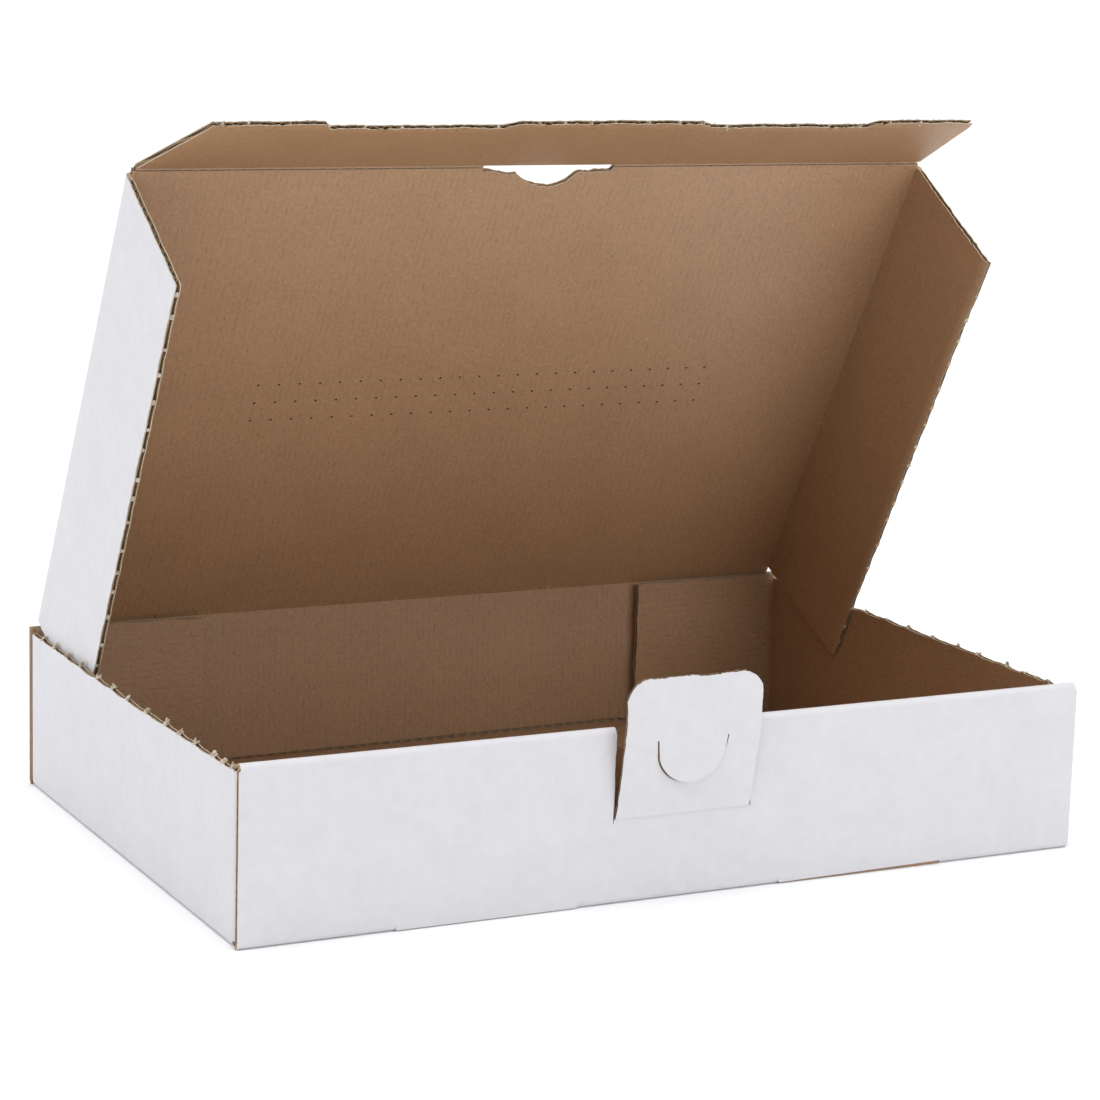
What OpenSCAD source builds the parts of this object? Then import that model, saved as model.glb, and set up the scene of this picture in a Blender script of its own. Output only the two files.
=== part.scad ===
// Flat postal box of one die-cut sheet of thin corrugated board, shown with its lid part open.
// The box stands on its base: X runs along the front wall, Y to the back, Z up.
// The origin is the centre of the underside of the base. Millimetres and degrees.

/* [Box] */
// Outside width along the front wall
box_w = 240; // [200:1:300]
// Outside depth from front to back
box_d = 160; // [140:1:200]
// Outside height to the top of the closed lid
box_h = 46.5; // [43:0.5:56]
// Thickness of the corrugated board
board = 1.5; // [1.3:0.1:1.7]
// Length of the corner flaps that fold behind the back wall's face
rear_flap = 50; // [40:1:60]
// Length of the corner flaps that hide inside the double front wall
front_flap = 38; // [30:1:40]
// How far the raw tops of the side walls lie below the top of the closed lid
side_drop = 3; // [1.6:0.2:4]
// How far the front wall's outer fold lies below the top of the closed lid
front_drop = 0.8; // [0.2:0.2:1.4]
// How far the top of the front wall falls from its outer fold to its inner one
roll_drop = 1.4; // [0.4:0.2:2]

/* [Lid] */
// Angle of the lid above its closed place
lid_open = 61; // [40:1:80]
// Length of the tuck flap from its fold
tuck_len = 39; // [30:1:39]
// Fold of the tuck flap out of the lid's plane
tuck_bend = 41; // [30:1:60]
// How far each end of the tuck flap slants in towards its tip
tuck_taper = 7; // [4:0.5:14]
// Depth of the two shallow steps in the tip of the tuck flap
tip_step = 3.5; // [2:0.5:5]
// How far the free corners of the side flaps stand back from the lid's front fold
flap_slant = 4.2; // [3.6:0.2:10]

/* [Slot in the lid] */
// Width of the slot at the front fold
slot_w = 39; // [36:1:48]
// Opening of the slot beside the thumb notch
slot_gap = 2.2; // [1.6:0.2:3]
// Width of the rounded thumb notch
notch_w = 22; // [16:1:28]
// Depth of the thumb notch from the fold
notch_d = 6.7; // [5:0.1:8]

/* [Lock tab] */
// Width of the tab in the middle of the front wall
tab_w = 39; // [32:1:40]
// Length of the tab from its lower fold to its free edge
tab_len = 38.5; // [34:0.5:40]
// Height of the tab's lower fold above the underside
tab_fold = 20.7; // [18:0.1:24]
// Distance from the lower fold to the crease across the tab
tab_crease = 22.2; // [17:0.1:24]
// Lean of the tab out of the front wall
tab_lean = 11; // [6:1:25]
// How far the head of the tab bends back from the lower half
head_bend = 7; // [4:1:14]
// Radius of the tab's free corners
tab_round = 6.5; // [5:0.5:10]
// Radius of the half-round cut that hangs from the crease
cut_r = 9.9; // [8:0.1:12]
// Length of the straight sides of that cut, from the crease to where it turns round
cut_side = 2; // [1:0.5:4]

/* [Hidden] */
$fn = 96;
// clearance between two layers of the sheet, and between the two sides of a fold
layer_gap = 0.2;
// clearance of a moving flap from what it slides past
slide_gap = 0.25;
// width of the half-round cut through the tab
slit = 0.5;
// outside radius of a fold
fold_r = board;
side_h = box_h - side_drop;
front_h = box_h - front_drop;
flap_top = max(side_h, box_h - board - layer_gap);
// the front wall is three layers: outer panel, corner flap, inner panel
front_t = 3 * board + 2 * layer_gap;
inner_front_y = -box_d / 2 + front_t;
roll_w = box_w - 2 * board - 1.2;
// the lid turns about the inner corner of its fold at the back
hinge_y = box_d / 2 - board;
hinge_z = box_h - board;
// length of the lid from that fold to the fold of the tuck flap
lid_len = hinge_y - inner_front_y - slide_gap - layer_gap - board;
// the folds of the side flaps, which slide down inside the side walls
flap_x = box_w / 2 - 2 * board - slide_gap;
flap_drop = hinge_z - board - slide_gap;
flap_rear = board + layer_gap + 2 * slide_gap;
flap_front = 1.6;
tuck_half = flap_x - 1.2;
// the lower half of the tab is a little narrower than its head
neck_w = tab_w - 0.8;
window_half = tab_w / 2 + 2 * layer_gap;
window_low = box_h - 8;
tongue_w = 49;
tongue_x = 54;

// a prism along X from a shape drawn in Y and Z, centred on x = 0
module along_x(length) {
    translate([-length / 2, 0, 0])
        rotate([90, 0, 90])
            linear_extrude(length)
                children();
}

// a slice of a disc between two angles less than 180 degrees apart
module sector(radius, from, to) {
    reach = 4 * radius;
    middle = (from + to) / 2;
    intersection() {
        circle(radius);
        polygon([
            [0, 0],
            [reach * cos(from), reach * sin(from)],
            [reach * cos(middle), reach * sin(middle)],
            [reach * cos(to), reach * sin(to)]
        ]);
    }
}

// what a rounded fold takes off a square corner that points to -X and -Y
module corner_waste(radius) {
    difference() {
        translate([-1, -1])
            square(radius + 1);
        translate([radius, radius])
            circle(radius);
    }
}

// base, front wall and back wall seen from the side, with rounded lower folds
module main_profile() {
    difference() {
        union() {
            translate([-box_d / 2, 0])
                square([box_d, board]);
            translate([-box_d / 2, 0])
                square([board, front_h - fold_r]);
            translate([hinge_y, 0])
                square([board, hinge_z]);
            translate([hinge_y, hinge_z])
                sector(fold_r, 0, 180 - lid_open);
        }
        translate([-box_d / 2, 0])
            corner_waste(fold_r);
        translate([box_d / 2, 0])
            mirror([1, 0])
                corner_waste(fold_r);
    }
}

// top of the front wall and the inner panel that hangs from it
module roll_profile() {
    roll_back = front_h - roll_drop;
    difference() {
        union() {
            // the band on top, which falls a little towards the inside
            polygon([
                [-box_d / 2, front_h],
                [-box_d / 2, front_h - board],
                [inner_front_y, roll_back - board],
                [inner_front_y, roll_back]
            ]);
            translate([-box_d / 2, front_h - 2 * board])
                square([board, board]);
            translate([inner_front_y - board, board + layer_gap])
                square([board, roll_back - board - layer_gap]);
        }
        translate([-box_d / 2, front_h])
            mirror([0, 1])
                corner_waste(fold_r);
        translate([inner_front_y, roll_back])
            mirror([1, 0])
                mirror([0, 1])
                    corner_waste(fold_r);
    }
}

// the left side wall and its two corner flaps seen from above
module side_plan() {
    front_y = -box_d / 2 + board + layer_gap;
    rear_y = box_d / 2 - board - layer_gap;
    difference() {
        union() {
            translate([-box_w / 2, front_y])
                square([board, rear_y - front_y]);
            translate([-box_w / 2, front_y])
                square([front_flap, board]);
            translate([-box_w / 2, rear_y - board])
                square([rear_flap, board]);
        }
        translate([-box_w / 2, front_y])
            corner_waste(fold_r);
        translate([-box_w / 2, rear_y])
            mirror([0, 1])
                corner_waste(fold_r);
    }
}

module side_wall() {
    wall_len = box_d - 2 * board - 2 * layer_gap;
    translate([0, 0, board + layer_gap])
        linear_extrude(side_h - board - layer_gap)
            side_plan();
    // the lower fold that joins the wall to the base
    translate([-box_w / 2, -wall_len / 2 + fold_r, 0])
        cube([board, wall_len - 2 * fold_r, 2 * board + layer_gap]);
    // the rear corner flap stands taller than the wall, up to just under the closed lid
    translate([-box_w / 2 + fold_r, wall_len / 2 - board, side_h - board])
        cube([rear_flap - fold_r, board, flap_top - side_h + board]);
}

// the lower edge of the base along a side wall, rounded by its fold
module side_fold_waste() {
    fold_len = box_d - 2 * board - 2 * layer_gap;
    translate([-box_w / 2, fold_len / 2, 0])
        rotate([90, 0, 0])
            linear_extrude(fold_len)
                corner_waste(fold_r);
}

// where the lock tab is cut out of the front wall, and its end out of the inner panel
module tab_window() {
    translate([-window_half, -box_d / 2 - 1, tab_fold])
        cube([2 * window_half, board + 1 + layer_gap, box_h]);
    translate([0, -box_d / 2 + front_t / 2, 0])
        rotate([90, 0, 0])
            linear_extrude(front_t + 2, center = true)
                union() {
                    translate([-window_half, window_low + tab_round])
                        square([2 * window_half, box_h]);
                    translate([-window_half + tab_round, window_low])
                        square([2 * (window_half - tab_round), box_h]);
                    translate([-window_half + tab_round, window_low + tab_round])
                        circle(tab_round);
                    translate([window_half - tab_round, window_low + tab_round])
                        circle(tab_round);
                }
}

// one tongue of the inner panel, stepped forward into its slot on the front fold
module tongue(x) {
    front_y = -box_d / 2 + 0.5;
    translate([x - tongue_w / 2, front_y, 0])
        cube([tongue_w, board, board + 1]);
    translate([x - tongue_w / 2, front_y + board - 0.4, board + layer_gap])
        cube([tongue_w, inner_front_y - front_y - board, board]);
}

module tongue_slot(x) {
    translate([x - tongue_w / 2 - 0.3, -box_d / 2 - 1, -1])
        cube([tongue_w + 0.6, 2 * board + 1, 1.9]);
    translate([x - tongue_w / 2 - 0.3, -box_d / 2 + board, -1])
        cube([tongue_w + 0.6, board, board + 1.1]);
}

module tray() {
    color("#e2e2e6")
        union() {
            difference() {
                union() {
                    along_x(box_w)
                        main_profile();
                    along_x(roll_w)
                        roll_profile();
                    side_wall();
                    mirror([1, 0, 0])
                        side_wall();
                }
                side_fold_waste();
                mirror([1, 0, 0])
                    side_fold_waste();
                tab_window();
                tongue_slot(-tongue_x);
                tongue_slot(tongue_x);
            }
            tongue(-tongue_x);
            tongue(tongue_x);
            // the rounded fold that the lock tab turns on
            along_x(2 * window_half)
                translate([-box_d / 2, tab_fold])
                    sector(fold_r, 0, 90 + tab_lean);
        }
}

// places a piece of the open lid: the lid's hinge is the origin, the closed lid lies along -Y
module at_lid() {
    translate([0, hinge_y, hinge_z])
        rotate([-lid_open, 0, 0])
            children();
}

// the slot and its thumb notch, seen from above with the tuck flap's fold along y = 0
module slot_shape() {
    notch_r = notch_w / 2;
    translate([-slot_w / 2, -2 * board])
        square([slot_w, slot_gap + 2 * board]);
    intersection() {
        translate([0, notch_d - notch_r])
            circle(notch_r);
        translate([-notch_r, -2 * board])
            square([notch_w, notch_d + 2 * board]);
    }
}

module lid() {
    start = fold_r + layer_gap;
    color("#dcdce0")
        at_lid()
            difference() {
                union() {
                    translate([-flap_x, -lid_len, 0])
                        cube([2 * flap_x, lid_len, board]);
                    // the folds that the three flaps turn on
                    translate([0, -lid_len, 0])
                        along_x(2 * flap_x)
                            sector(fold_r, 90, 180 + tuck_bend);
                    translate([flap_x, -flap_rear, 0])
                        rotate([90, 0, 0])
                            linear_extrude(lid_len - flap_rear - flap_front)
                                union() {
                                    sector(fold_r, 0, 90);
                                    sector(fold_r, -90, 0);
                                }
                    translate([-flap_x, -flap_rear, 0])
                        rotate([90, 0, 0])
                            linear_extrude(lid_len - flap_rear - flap_front)
                                union() {
                                    sector(fold_r, 90, 180);
                                    sector(fold_r, 180, 270);
                                }
                }
                // room for the fold at the back wall
                rotate([0, 90, 0])
                    cylinder(r = start, h = box_w, center = true);
                translate([0, -lid_len, -board])
                    linear_extrude(3 * board)
                        slot_shape();
            }
}

module tuck_flap() {
    start = fold_r + layer_gap;
    // the steps are where the tongues of the next box on the sheet were cut
    step_in = tongue_x - tongue_w / 2;
    step_out = tongue_x + tongue_w / 2;
    color("#d6d6da")
        at_lid()
            translate([0, -lid_len, 0])
                rotate([tuck_bend, 0, 0])
                    difference() {
                        linear_extrude(board)
                            polygon([
                                [-tuck_half, 0],
                                [tuck_half, 0],
                                [tuck_half - tuck_taper, -tuck_len],
                                [step_out + 1, -tuck_len],
                                [step_out - 1, -tuck_len + tip_step],
                                [step_in + 1, -tuck_len + tip_step],
                                [step_in - 3, -tuck_len],
                                [-step_in + 3, -tuck_len],
                                [-step_in - 1, -tuck_len + tip_step],
                                [-step_out + 1, -tuck_len + tip_step],
                                [-step_out - 1, -tuck_len],
                                [-tuck_half + tuck_taper, -tuck_len]
                            ]);
                        rotate([0, 90, 0])
                            cylinder(r = start, h = box_w, center = true);
                    }
}

// the side flap on the right: its face is drawn with the lid's length along -Y
module side_flap() {
    start = fold_r + layer_gap;
    at_lid()
        translate([flap_x, 0, 0])
            difference() {
                rotate([90, 0, 90])
                    linear_extrude(board)
                        polygon([
                            [-flap_rear, 0],
                            [-flap_rear - 2, -flap_drop],
                            [-lid_len + flap_slant, -flap_drop],
                            [-lid_len + flap_front, 0]
                        ]);
                rotate([90, 0, 0])
                    cylinder(r = start, h = 3 * box_d, center = true);
            }
}

module left_side_flap() {
    color("#d0d0d6")
        mirror([1, 0, 0])
            side_flap();
}

module right_side_flap() {
    color("#d0d0d6")
        side_flap();
}

// the half-round cut that hangs from the crease, which is y = 0
module cut_shape(radius) {
    union() {
        translate([0, -cut_side])
            circle(radius);
        translate([-radius, -cut_side])
            square([2 * radius, cut_side]);
    }
}

// outline of the tab's head above the crease, and the half-round tongue that stays with it
module head_shape() {
    head_len = tab_len - tab_crease;
    half = tab_w / 2;
    union() {
        translate([-half, 0])
            square([tab_w, head_len - tab_round]);
        translate([-half + tab_round, 0])
            square([tab_w - 2 * tab_round, head_len]);
        translate([-half + tab_round, head_len - tab_round])
            circle(tab_round);
        translate([half - tab_round, head_len - tab_round])
            circle(tab_round);
        cut_shape(cut_r - slit / 2);
    }
}

// the tab stands in the XZ plane with its outer face at y = 0 and its lower fold on z = 0
module lock_tab() {
    start = fold_r + layer_gap;
    color("#e2e2e6")
        translate([0, -box_d / 2, tab_fold])
            rotate([tab_lean, 0, 0])
                union() {
                    difference() {
                        translate([0, board, 0])
                            rotate([90, 0, 0])
                                linear_extrude(board)
                                    difference() {
                                        translate([-neck_w / 2, 0])
                                            square([neck_w, tab_crease + board * sin(head_bend) / 2]);
                                        intersection() {
                                            translate([0, tab_crease])
                                                cut_shape(cut_r + slit / 2);
                                            translate([-tab_w / 2, 0])
                                                square([tab_w, tab_crease - slit]);
                                        }
                                    }
                        rotate([0, 90, 0])
                            cylinder(r = start, h = 2 * tab_w, center = true);
                    }
                    // the head bends back about the crease on the inner face
                    translate([0, board, tab_crease])
                        rotate([-head_bend, 0, 0])
                            rotate([90, 0, 0])
                                linear_extrude(board)
                                    head_shape();
                }
}

tray();
lid();
tuck_flap();
left_side_flap();
right_side_flap();
lock_tab();
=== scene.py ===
import bpy
import bmesh
import math
import random
from mathutils import Matrix, Vector


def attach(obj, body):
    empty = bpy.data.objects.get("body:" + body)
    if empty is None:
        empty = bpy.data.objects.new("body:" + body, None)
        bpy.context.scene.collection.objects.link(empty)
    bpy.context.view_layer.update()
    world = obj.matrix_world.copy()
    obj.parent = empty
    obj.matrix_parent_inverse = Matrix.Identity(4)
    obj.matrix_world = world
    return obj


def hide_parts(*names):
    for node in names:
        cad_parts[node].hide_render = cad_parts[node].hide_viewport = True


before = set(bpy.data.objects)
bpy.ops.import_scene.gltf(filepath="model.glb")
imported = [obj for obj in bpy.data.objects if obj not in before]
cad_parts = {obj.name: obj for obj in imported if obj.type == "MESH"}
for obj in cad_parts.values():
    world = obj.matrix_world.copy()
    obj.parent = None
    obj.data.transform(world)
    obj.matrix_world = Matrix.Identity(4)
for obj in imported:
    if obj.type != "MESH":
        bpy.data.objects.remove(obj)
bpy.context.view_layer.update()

# BASE
# The box is one die-cut sheet of thin corrugated board: a white liner outside, a brown kraft one
# inside and a fluted paper between them. The base is its middle panel, and every wall folds up
# from it. All sizes here are millimetres, as in the part, and become metres in the mesh.
BOX_W = 240.0
BOX_D = 160.0
BOX_H = 46.5
BOARD = 1.5
LINER = 0.27
FLUTE_PITCH = 3.6
LAYER_GAP = 0.2
TONGUE_X = 54.0
TONGUE_W = 49.6
CREASE_GROOVE = 0.45
CLOSE_ROWS = [0.0, 0.5, 1.5, 4.0]
FLUTE_INSET = 0.45
FOLD_INSET = 0.05
FLUTE_POINTS = 8
FLUTE_HALF = 0.08
RAGGED = 0.05, 0.25
ALONG_FUZZ = 0.6
SLOW_WAVE = 7.1
FAST_WAVE = 2.3
FULL_TURN = 6.3
SHIFT_MOST = 40
FIRST_NICK = 0.3, 0.8
NICK_SPREAD = 0.75, 1.25
NICK_END = 2.0
CRUSH = 0.015
FOLD_ROW = 0.3
SHARP_EDGE = math.radians(32)
HAIR = 0.02
UV_SIZE = 100
PER_METRE = 1000
BOW_LEFT = 0.2
BOW_RIGHT = 1.2
BOW_HALF = 70.0
BOW_FADE = 2.5
BOW_CREST = 1.5
BOW_DEPTH = 60.0
WHITE, KRAFT, RAW, CREAM = 0, 1, 2, 3
scene = bpy.context.scene


def steps(first, last, size):
    """Evenly spaced places from first to last, about size apart."""
    count = max(1, round(abs(last - first) / size))
    return [first + (last - first) * i / count for i in range(count + 1)]


def rows_to_edges(length, middle=8.0):
    """Shares of a panel's length, close together near both ends and wide apart between."""
    far = CLOSE_ROWS[-1]
    inner = steps(far, length - far, middle)[1:-1]
    ends = [length - d for d in reversed(CLOSE_ROWS)]
    return [d / length for d in CLOSE_ROWS + inner + ends]


class Sheet:
    """Panels of the folded sheet that move as one: liners, folds and the blanks of the flutes."""

    def __init__(self, name, seed):
        self.name = name
        self.rng = random.Random(seed)
        self.points, self.faces, self.skins, self.uvs = [], [], [], []
        self.flute_points, self.flute_faces = [], []
        self.flute_across, self.flute_through = [], []
        self.nicks = []

    def slab(self, low, high):
        """Faces of a closed slab between two grids of points, as (layer, column, row) corners."""
        columns, rows = len(low), len(low[0])
        faces = []
        for i in range(columns - 1):
            for j in range(rows - 1):
                around = [(i, j), (i + 1, j), (i + 1, j + 1), (i, j + 1)]
                faces.append((0, [(0, a, b) for a, b in around]))
                faces.append((1, [(1, a, b) for a, b in reversed(around)]))
        rim = [(i, 0) for i in range(columns)]
        rim += [(columns - 1, j) for j in range(1, rows)]
        rim += [(i, rows - 1) for i in range(columns - 2, -1, -1)]
        rim += [(0, j) for j in range(rows - 2, 0, -1)]
        for here, there in zip(rim, rim[1:] + rim[:1]):
            faces.append((2, [(0, *there), (0, *here), (1, *here), (1, *there)]))
        return faces

    def stray(self, size):
        """A line that wanders a little from side to side, like an edge cut with a worn rule."""
        slow, fast = self.rng.uniform(0, FULL_TURN), self.rng.uniform(0, FULL_TURN)

        def line(p):
            return size * 0.5 * (math.sin(p / SLOW_WAVE + slow) + math.sin(p / FAST_WAVE + fast))

        return line

    def patch(self):
        """A random place on the paper's pattern, so that no two panels look alike."""
        return self.rng.uniform(0, SHIFT_MOST), self.rng.uniform(0, SHIFT_MOST)

    def panel(self, place, us, span, rows, raw="", fuzz=0.1, wander=0.15, torn=None, shift=None,
              inset=FLUTE_INSET, scallop=None):
        """One flat panel. place(u, v, w) gives a point: u across the flutes, v along them and w in
        from the white face. span(u, w) gives where the panel starts and ends along v. raw names
        the cut edges: lo and hi across the flutes, first and last along them. torn(v) is 0 where
        a first or last edge isn't cut but runs on into the next panel. scallop(v) draws the last
        edge back between its nicks. inset is how far the flutes stay behind a cut edge."""
        shift = shift or self.patch()
        stray = {edge: self.stray(wander) for edge in ("lo", "hi", "first", "last")}
        ends = {0: "first", len(us) - 1: "last"}
        tips = {0: "lo", len(rows) - 1: "hi"}
        outer = 0.0, LINER, (WHITE, RAW, CREAM)
        inner = BOARD - LINER, BOARD, (RAW, KRAFT, CREAM)
        for near, far, skins in (outer, inner):
            low, high, uv = [[[] for u in us] for grid in range(3)]
            for i, u in enumerate(us):
                near_start, near_end = span(u, near)
                far_start, far_end = span(u, far)
                for j, share in enumerate(rows):
                    near_v = near_start + (near_end - near_start) * share
                    far_v = far_start + (far_end - far_start) * share
                    push = slip = 0.0
                    if ends.get(i) in raw.split():
                        push = stray[ends[i]](near_v) + self.rng.gauss(0, fuzz) * ALONG_FUZZ
                        push *= torn(near_v) if torn else 1.0
                    if scallop and ends.get(i) == "last":
                        push += scallop(near_v)
                    if tips.get(j) in raw.split():
                        slip = stray[tips[j]](u) + self.rng.gauss(0, fuzz)
                    low[i].append(place(u + push, near_v + slip, near))
                    high[i].append(place(u + push, far_v + slip, far))
                    along = (near_v + slip + shift[1]) / UV_SIZE
                    uv[i].append(((u + push + shift[0]) / UV_SIZE, along))
            start = len(self.points)
            self.points += [point for column in low + high for point in column]
            size = len(us) * len(rows)
            for kind, corners in self.slab(low, high):
                self.faces.append([start + k * size + i * len(rows) + j for k, i, j in corners])
                self.uvs.append([uv[i][j] for k, i, j in corners])
                self.skins.append(skins[kind])
        self.flutes(place, us[0], us[-1], span, raw.split(), inset)

    def flutes(self, place, first, last, span, raw, inset):
        """The flat blank of a panel's fluted paper, which the flute nodes bend into waves."""
        first += inset if "first" in raw else FOLD_INSET
        last -= inset if "last" in raw else FOLD_INSET
        middle = BOARD / 2
        low, high, marks = [], [], []
        for u in steps(first, last, FLUTE_PITCH / FLUTE_POINTS):
            start, end = span(u, middle)
            start += inset - self.rng.uniform(*RAGGED) if "lo" in raw else FOLD_INSET
            end -= inset - self.rng.uniform(*RAGGED) if "hi" in raw else FOLD_INSET
            stops = start, (start + end) / 2, end
            low.append([place(u, v, middle - FLUTE_HALF) for v in stops])
            high.append([place(u, v, middle + FLUTE_HALF) for v in stops])
            through = Vector(place(u, start, BOARD)) - Vector(place(u, start, 0.0))
            marks += [(u, through.normalized())] * len(stops)
        start = len(self.flute_points)
        self.flute_points += [point for column in low + high for point in column]
        self.flute_across += [u for u, through in marks] * 2
        self.flute_through += [through for u, through in marks] * 2
        size, rows = len(marks), len(low[0])
        for kind, corners in self.slab(low, high):
            self.flute_faces.append([start + k * size + i * rows + j for k, i, j in corners])

    def nick_places(self, first, last, spacing):
        """Places along a cut edge where the rule has a nick and the paper tears."""
        places = []
        t = first + spacing * self.rng.uniform(*FIRST_NICK)
        while t < last - NICK_END:
            places.append(t)
            t += spacing * self.rng.uniform(*NICK_SPREAD)
        return places

    def tear_edge(self, edge, places, lean=0.0, root=(0.35, 0.65), sink=0.25):
        """Torn spots on a cut edge: a point, the way its fibres point and the way through the
        board. edge(t, out, w) gives a point at t along the edge, out of it and w in from the
        white face. lean tips the fibres over to the kraft side, root is how deep in the board
        they start, as shares of its thickness, and sink how far down in the flutes."""
        for t in places:
            depth = BOARD * self.rng.uniform(*root)
            spot = Vector(edge(t, 0.0, depth))
            out = Vector(edge(t, 1.0, depth)) - spot
            through = (Vector(edge(t, 0.0, BOARD)) - Vector(edge(t, 0.0, 0.0))).normalized()
            away = (out + through * lean).normalized()
            self.nicks.append((spot - away * sink, away, through))

    def fold(self, centre, turn, xs, start, end, along, skins=(WHITE, KRAFT), arc=8, trim=0.0):
        """A folded edge: a slice of a round bar about the inner corner of the fold. turn(angle) is
        the unit vector at an angle in degrees; skins are for its round and its flat sides; trim
        makes it a little thinner than the board."""
        shift = self.patch()
        centre, along = Vector(centre), Vector(along)
        angles = [start + (end - start) * k / arc for k in range(arc + 1)]
        begin = len(self.points)
        ring = arc + 2
        for x in xs:
            base = centre + along * x
            self.points.append(tuple(base))
            for angle in angles:
                crushed = BOARD - trim - abs(self.rng.gauss(0, CRUSH))
                self.points.append(tuple(base + Vector(turn(angle)) * crushed))
        for i in range(len(xs) - 1):
            here, there = begin + i * ring, begin + (i + 1) * ring
            u0, u1 = [(x + shift[0]) / UV_SIZE for x in xs[i:i + 2]]
            for k in range(ring):
                n = (k + 1) % ring
                v0, v1 = [(m * FOLD_ROW + shift[1]) / UV_SIZE for m in (k, k + 1)]
                self.faces.append([here + k, there + k, there + n, here + n])
                self.uvs.append([(u0, v0), (u1, v0), (u1, v1), (u0, v1)])
                self.skins.append(skins[0] if 0 < k < ring - 1 else skins[1])
        for i in (0, len(xs) - 1):
            self.faces.append([begin + i * ring + k for k in range(ring)])
            self.uvs.append([(0, 0)] * ring)
            self.skins.append(RAW)

    def piece(self, finishes):
        """The liners and folds as one mesh object, with its faces turned outwards."""
        mesh = bpy.data.meshes.new(self.name)
        mesh.from_pydata([tuple(c / PER_METRE for c in p) for p in self.points], [], self.faces)
        layer = mesh.uv_layers.new(name="board")
        layer.data.foreach_set("uv", [c for face in self.uvs for corner in face for c in corner])
        for finish in finishes:
            mesh.materials.append(finish)
        mesh.polygons.foreach_set("material_index", self.skins)
        solid = bmesh.new()
        solid.from_mesh(mesh)
        bmesh.ops.recalc_face_normals(solid, faces=solid.faces)
        for edge in solid.edges:
            edge.smooth = edge.calc_face_angle(0.0) < SHARP_EDGE
        for face in solid.faces:
            face.smooth = True
        solid.to_mesh(mesh)
        solid.free()
        thing = bpy.data.objects.new(self.name, mesh)
        scene.collection.objects.link(thing)
        return thing


tray = Sheet("tray_board", 11)
half_w = BOX_W / 2
half_d = BOX_D / 2


def in_slot(x):
    return abs(abs(x) - TONGUE_X) < TONGUE_W / 2


def slot_steps(first, last, size):
    """Steps across the box with a pair of close places at each end of a tongue's slot."""
    ends = [s * (TONGUE_X + e * TONGUE_W / 2) for s in (-1, 1) for e in (-1, 1)]
    pairs = [e + d for e in ends for d in (-HAIR, HAIR) if first < e < last]
    marks = sorted([first, last] + pairs)
    places = []
    for a, b in zip(marks, marks[1:]):
        places += steps(a, b, size)[:-1]
    return places + [last]


def bow(u):
    """How far the base bows up before the back wall, between the rear corner flaps."""
    along = max(-1.0, min(1.0, u / BOW_HALF))
    rise = BOW_LEFT + (BOW_RIGHT - BOW_LEFT) * (1.0 + along) / 2
    return rise * min(1.0, max(0.0, (BOW_HALF - abs(u)) / BOW_FADE))


def base_place(u, v, w):
    behind = half_d - BOARD - v
    if behind < BOW_CREST:
        share = max(0.0, behind / BOW_CREST)
    else:
        share = max(0.0, 1.0 - (behind - BOW_CREST) / BOW_DEPTH) ** 2
    return u, v, w + bow(u) * share


def base_span(u, w):
    front = -half_d + (2 * BOARD if in_slot(u) else BOARD)
    groove = CREASE_GROOVE if w > BOARD / 2 else 0.0
    return front, half_d - BOARD - groove


base_us = slot_steps(-half_w + BOARD, half_w - BOARD, FLUTE_PITCH)
tray.panel(base_place, base_us, base_span, rows_to_edges(BOX_D - 2 * BOARD))


# FRONT WALL
# A double wall: the outer panel folds up from the base, rolls over a narrow band at the top and
# hangs down inside, white to both sides. Two tongues on the inner panel lock into slots on the
# lower fold, and the lock tab is cut out of the middle, which leaves a window.
FRONT_T = 3 * BOARD + 2 * LAYER_GAP
FRONT_DROP = 0.8
FRONT_TOP = BOX_H - FRONT_DROP
ROLL_DROP = 1.4
ROLL_INSET = 0.6
ROLL_HALF = half_w - BOARD - ROLL_INSET
BAND_INSET = 0.5
BAND_HALF = half_w - BAND_INSET
CORNER_CUT = 0.3
TAB_W = 39.0
TAB_FOLD = 20.7
WINDOW_HALF = TAB_W / 2 + LAYER_GAP
WINDOW_DROP = 8.0
WINDOW_LOW = BOX_H - WINDOW_DROP
TAB_ROUND = 6.5
TAB_LEAN = 11.0
CREASE_DROP = 4.2
CREASE_PRESS = 0.05
CREASE_WIDTH = 1.2
SLOT_CLOSED = 0.25
SLOT_OPEN = 0.35
SLOT_GAPE = 0.6
FOLD_CLEAR = 0.1
WALL_STEP = 1.2
ROLL_STEP = 1.6
FOLD_STEP = 2.0
THREE_ROWS = [0.0, 0.5, 1.0]
inner_y = -half_d + FRONT_T


def chord(r, x):
    """How high a circle of radius r stands at x from its middle."""
    return math.sqrt(max(0.0, r * r - x * x))


def yz(angle):
    """Unit vector in the side view: 0 degrees points to the back of the box, 90 up."""
    return 0.0, math.cos(math.radians(angle)), math.sin(math.radians(angle))


def front_place(u, v, w):
    from_crease = (v - (FRONT_TOP - CREASE_DROP)) / CREASE_WIDTH
    pressed = CREASE_PRESS * math.exp(-from_crease ** 2)
    return u, -half_d + w + pressed * (1 - w / BOARD), v


def slot_cut(u):
    """Height of the wall's raw edge over a slot: the left one is closed, the right one gapes."""
    if u < 0:
        return SLOT_CLOSED
    return SLOT_OPEN + SLOT_GAPE * (u - TONGUE_X + TONGUE_W / 2) / TONGUE_W


def front_span(u, w):
    past_roll = max(0.0, abs(u) - BAND_HALF) / (half_w - BAND_HALF)
    return (slot_cut(u) if in_slot(u) else BOARD), FRONT_TOP - BOARD - CORNER_CUT * past_roll


def level(start, end):
    """A span that is the same all across a panel."""
    return lambda u, w: (start, end)


def above_fold(v):
    return 1.0 if v > TAB_FOLD + FOLD_CLEAR else 0.0


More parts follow.
